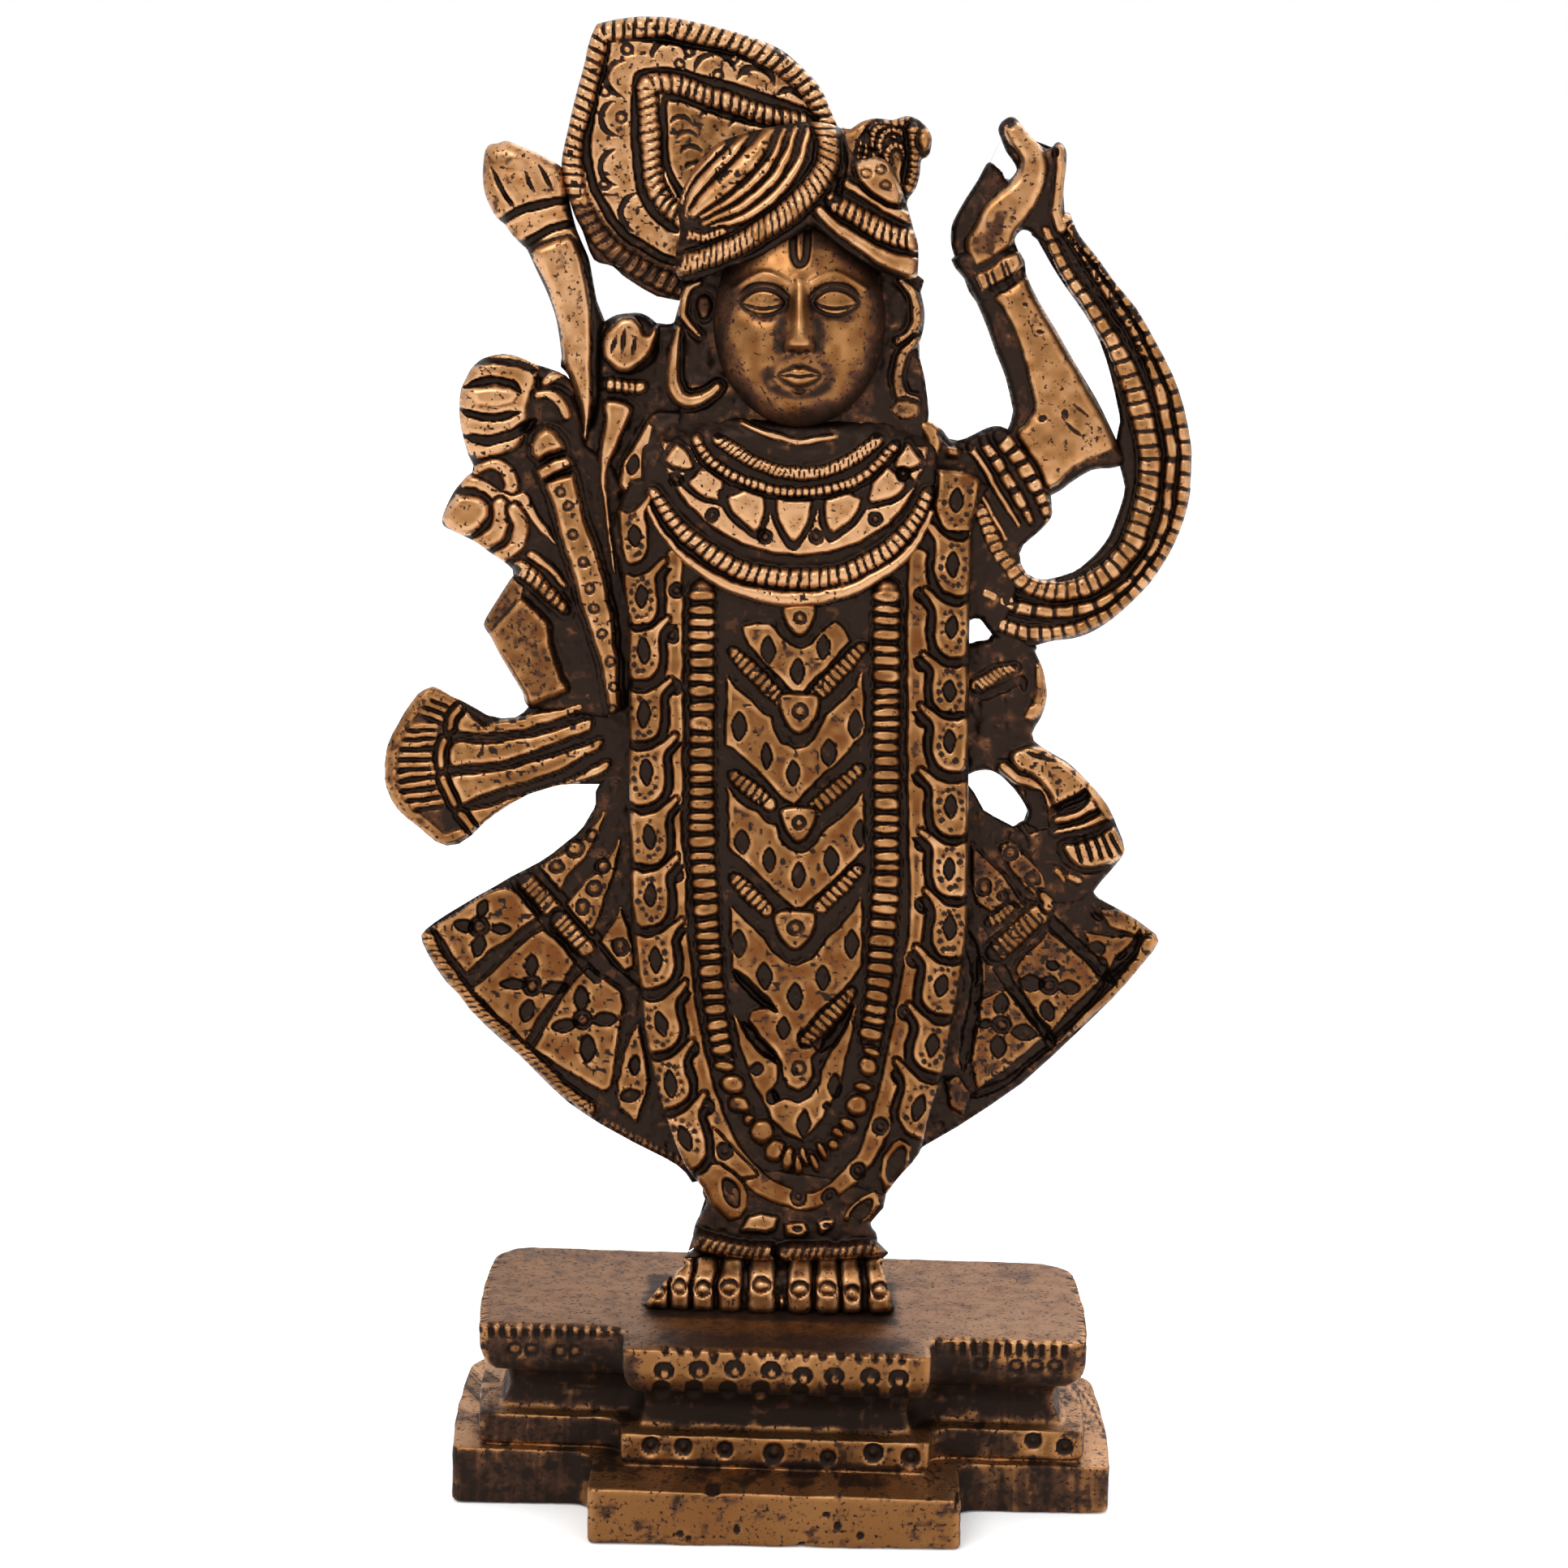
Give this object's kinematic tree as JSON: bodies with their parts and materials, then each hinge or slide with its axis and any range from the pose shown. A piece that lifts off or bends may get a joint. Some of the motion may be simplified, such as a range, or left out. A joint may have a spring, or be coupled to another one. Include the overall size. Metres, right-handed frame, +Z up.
{
  "type": "krishna statue",
  "caption": "Small solid brass idol of Krishna in relief, one arm raised with a looped scarf, fan crest over the turban, long robe, on a stepped plinth.",
  "frame": {"origin": "middle of the plinth's underside", "axes": "+Z up, the figure looks along -Y, and its left side is at +X"},
  "size_m": [0.1166, 0.061, 0.2153],
  "materials": {
    "polished_brass": "antique brass, polished on the high parts and dark brown in the grooves",
    "brushed_brass": "antique brass, brushed brown with worn golden edges"
  },
  "bodies": {
    "root": {"krishna_figure": "polished_brass", "plinth": "brushed_brass"}
  },
  "joints": []
}
